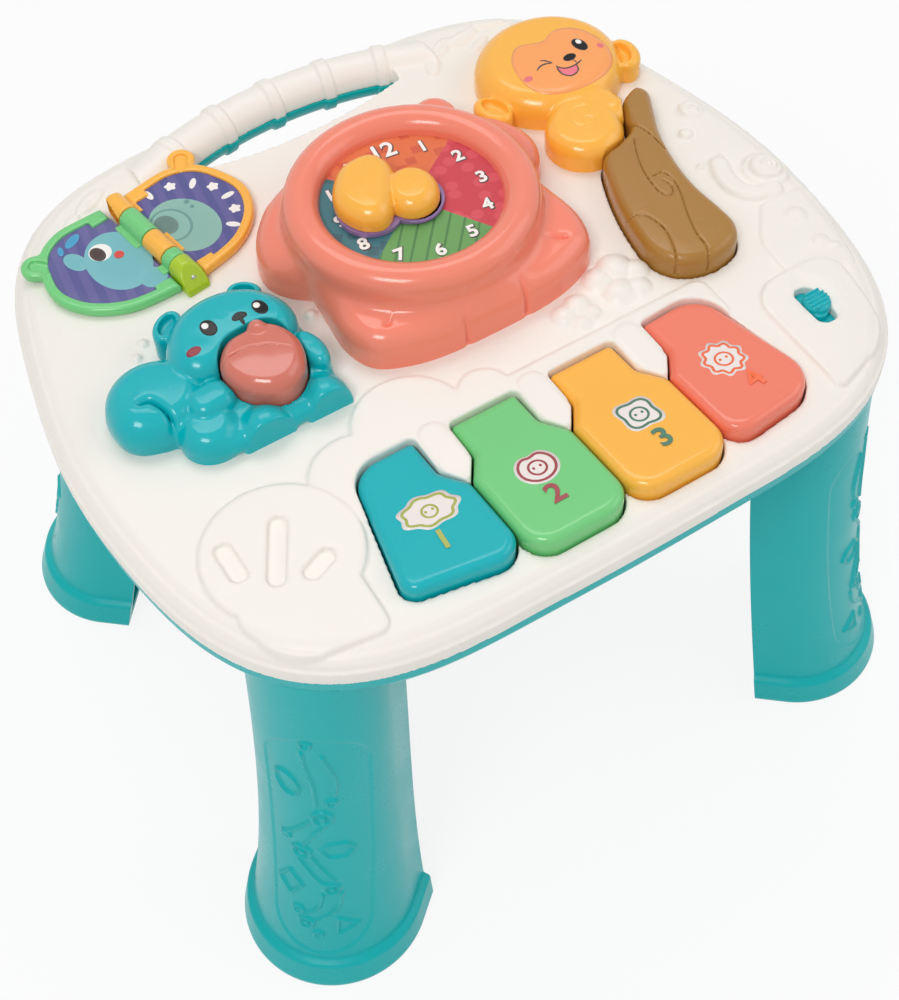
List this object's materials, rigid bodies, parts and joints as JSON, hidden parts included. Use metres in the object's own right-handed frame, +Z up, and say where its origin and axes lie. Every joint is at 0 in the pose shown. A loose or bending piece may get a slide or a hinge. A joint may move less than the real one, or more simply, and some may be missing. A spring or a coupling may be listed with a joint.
{
  "type": "musical activity table",
  "caption": "Low activity table for a baby with coloured piano keys, a clock with a spinning hand, a squirrel, a monkey, a flip book and a carrying handle on four removable legs.",
  "frame": {"origin": "on the floor under the middle of the four feet", "axes": "+X to the right of a child who sits at the keys, +Y away from that child towards the handle, +Z up"},
  "size_m": [0.3776, 0.3387, 0.2976],
  "materials": {
    "shell_white": "satin moulded ABS",
    "teal_plastic": "glossy moulded ABS",
    "turquoise_plastic": "glossy moulded ABS",
    "coral_plastic": "glossy moulded ABS",
    "orange_plastic": "glossy moulded ABS",
    "green_plastic": "glossy moulded ABS",
    "lime_plastic": "glossy moulded ABS",
    "tan_plastic": "glossy moulded ABS",
    "acorn_plastic": "glossy moulded ABS",
    "purple_plastic": "glossy moulded ABS",
    "dial_print": "printed sheet in four colours",
    "card_print": "printed card",
    "grey_steel": "drawn wire and turned parts",
    "screw_steel": "zinc plated",
    "silicone": "moulded silicone",
    "board_green": "solder mask",
    "lamp_clear": "clear lamp",
    "speaker_paper": "paper cone and steel frame",
    "black_plastic": "moulded",
    "cell_wrap": "plain wrapped cells",
    "contact_metal": "nickel plated"
  },
  "bodies": {
    "base": {"top_shell": "shell_white", "bottom_shell": "teal_plastic", "leg_front_left": "teal_plastic", "leg_front_right": "teal_plastic", "leg_back_left": "teal_plastic", "leg_back_right": "teal_plastic", "key_dome_1": "silicone", "key_dome_2": "silicone", "key_dome_3": "silicone", "key_dome_4": "silicone", "key_rod": "grey_steel", "key_board": "board_green", "main_board": "board_green", "lamps": "lamp_clear", "acorn_dome": "silicone", "trunk_dome": "silicone", "speaker": "speaker_paper", "speaker_clamp": "black_plastic", "switch_body": "black_plastic", "squirrel": "turquoise_plastic", "monkey": "orange_plastic", "clock_housing": "coral_plastic", "clock_dial": "dial_print", "hinge_pin": "grey_steel", "hinge_clip": "lime_plastic", "batteries": "cell_wrap", "battery_contacts": "contact_metal", "battery_door": "teal_plastic", "battery_door_screw": "screw_steel", "case_screws": "screw_steel"},
    "key_1": {"key_1": "turquoise_plastic"},
    "key_2": {"key_2": "green_plastic"},
    "key_3": {"key_3": "orange_plastic"},
    "key_4": {"key_4": "coral_plastic"},
    "acorn": {"acorn_button": "acorn_plastic"},
    "trunk": {"trunk_button": "tan_plastic"},
    "spinner": {"spinner_base": "purple_plastic", "spinner_hand": "orange_plastic", "spinner_washer": "grey_steel"},
    "yellow_page": {"page_yellow": "orange_plastic", "page_yellow_card": "card_print"},
    "green_page": {"page_green": "green_plastic", "page_green_card": "card_print"},
    "switch": {"switch_cap": "turquoise_plastic"}
  },
  "joints": [
    {"name": "key_1_press", "type": "hinge", "parent": "base", "child": "key_1", "pos_m": [0, -0.06, 0.2465], "axis": [1, 0, 0], "range_deg": [0, 3], "stiffness_Nm_per_rad": 1, "springref_deg": -1.72, "deforming": ["key_dome_1"]},
    {"name": "key_2_press", "type": "hinge", "parent": "base", "child": "key_2", "pos_m": [0, -0.06, 0.2465], "axis": [1, 0, 0], "range_deg": [0, 3], "stiffness_Nm_per_rad": 1, "springref_deg": -1.72, "deforming": ["key_dome_2"]},
    {"name": "key_3_press", "type": "hinge", "parent": "base", "child": "key_3", "pos_m": [0, -0.06, 0.2465], "axis": [1, 0, 0], "range_deg": [0, 3], "stiffness_Nm_per_rad": 1, "springref_deg": -1.72, "deforming": ["key_dome_3"]},
    {"name": "key_4_press", "type": "hinge", "parent": "base", "child": "key_4", "pos_m": [0, -0.06, 0.2465], "axis": [1, 0, 0], "range_deg": [0, 3], "stiffness_Nm_per_rad": 1, "springref_deg": -1.72, "deforming": ["key_dome_4"]},
    {"name": "acorn_press", "type": "slide", "parent": "base", "child": "acorn", "axis": [0, 0, -1], "range_m": [0, 0.0025], "stiffness_N_per_m": 700, "springref_m": -0.001, "deforming": ["acorn_dome"]},
    {"name": "trunk_press", "type": "slide", "parent": "base", "child": "trunk", "axis": [0, 0, -1], "range_m": [0, 0.002], "stiffness_N_per_m": 900, "springref_m": -0.0012, "deforming": ["trunk_dome"]},
    {"name": "spinner_turn", "type": "hinge", "parent": "base", "child": "spinner", "pos_m": [0.0065, 0.021, 0.2835], "axis": [0, 0, 1], "continuous": true},
    {"name": "yellow_page_flip", "type": "hinge", "parent": "base", "child": "yellow_page", "pos_m": [-0.092, 0.084, 0.2606], "axis": [0.1478, -0.989, 0], "range_deg": [0, 170]},
    {"name": "green_page_flip", "type": "hinge", "parent": "base", "child": "green_page", "pos_m": [-0.092, 0.084, 0.2606], "axis": [-0.1478, 0.989, 0], "range_deg": [0, 170]},
    {"name": "switch_slide", "type": "slide", "parent": "base", "child": "switch", "axis": [0, 1, 0], "range_m": [-0.0035, 0.0035]}
  ]
}
